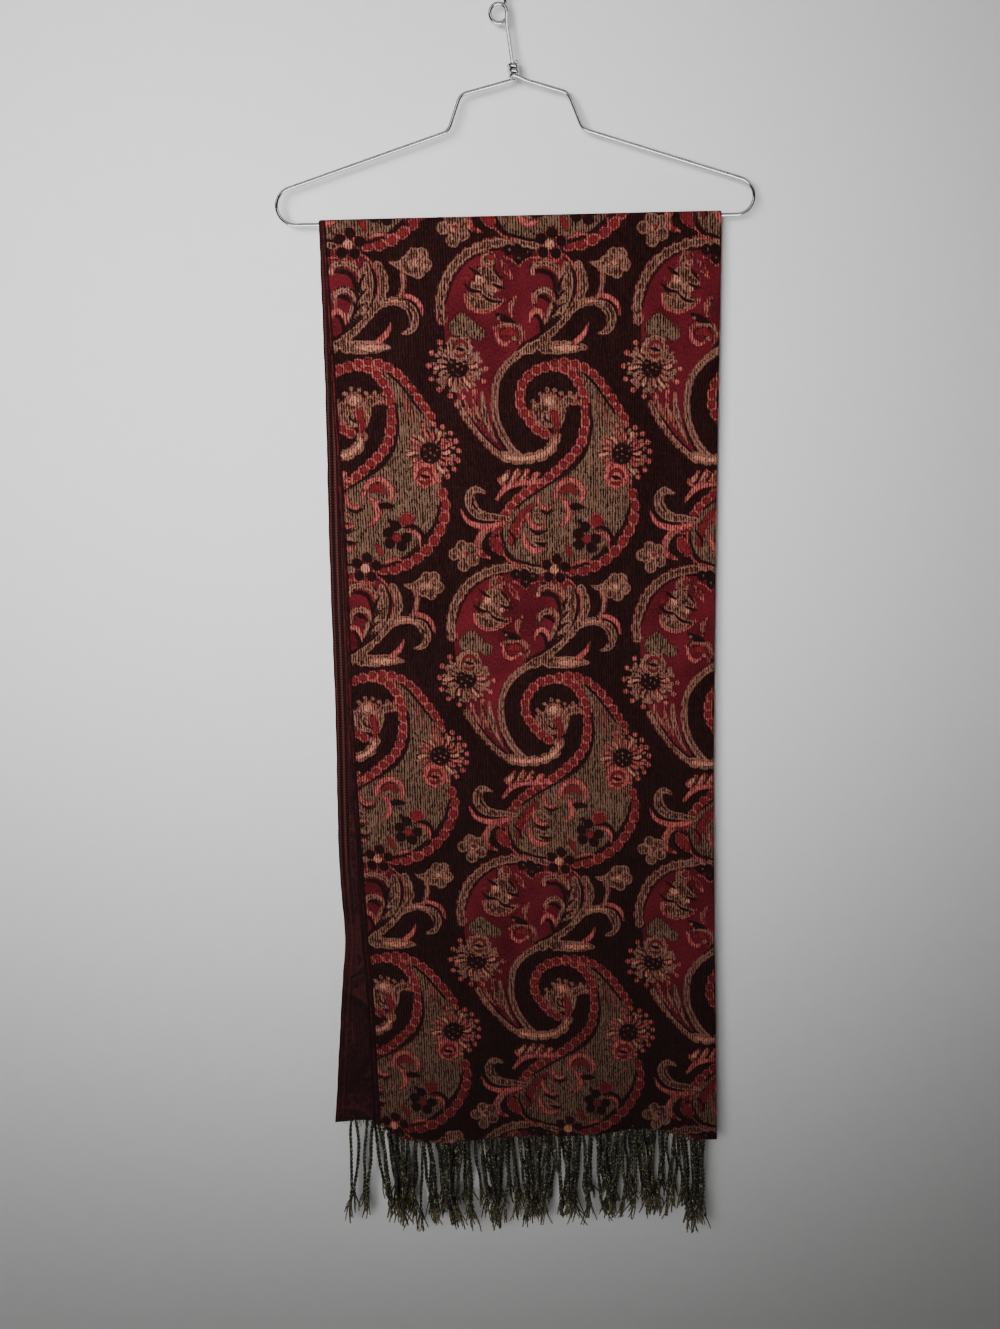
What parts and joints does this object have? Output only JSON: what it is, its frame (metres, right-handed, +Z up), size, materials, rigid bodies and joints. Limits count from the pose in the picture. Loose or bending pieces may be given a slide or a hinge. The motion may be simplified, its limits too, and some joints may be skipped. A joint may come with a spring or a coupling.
{
  "type": "pashmina scarf on wire hanger",
  "caption": "Woven paisley scarf with twisted fringe, folded in half lengthwise and hung over the bar of a shouldered chrome wire hanger.",
  "frame": {"origin": "hook seat: the inner top of the hanger's hook, where a rail bears on it", "axes": "+Z up, +X to the right of someone facing the scarf, the front of the scarf faces -Y"},
  "size_m": [0.4246, 0.0201, 1.2315],
  "materials": {
    "chrome_wire": "polished",
    "jacquard_face": "woven paisley jacquard",
    "jacquard_reverse": "woven jacquard, wrong side",
    "fringe_cord": "twisted yarn"
  },
  "bodies": {
    "root": {"hanger_hook": "chrome_wire", "hanger_ring": "chrome_wire", "hanger_shank": "chrome_wire", "hanger_wraps": "chrome_wire", "hanger_left_arm": "chrome_wire", "hanger_right_arm": "chrome_wire", "hanger_bar": "chrome_wire", "front_outer_leaf": "jacquard_face", "front_inner_leaf": "jacquard_reverse", "bar_turn_outer": "jacquard_face", "bar_turn_inner": "jacquard_reverse", "back_outer_leaf": "jacquard_face", "back_inner_leaf": "jacquard_reverse", "front_outer_fringe": "fringe_cord", "front_inner_fringe": "fringe_cord", "back_outer_fringe": "fringe_cord", "back_inner_fringe": "fringe_cord"}
  },
  "joints": []
}
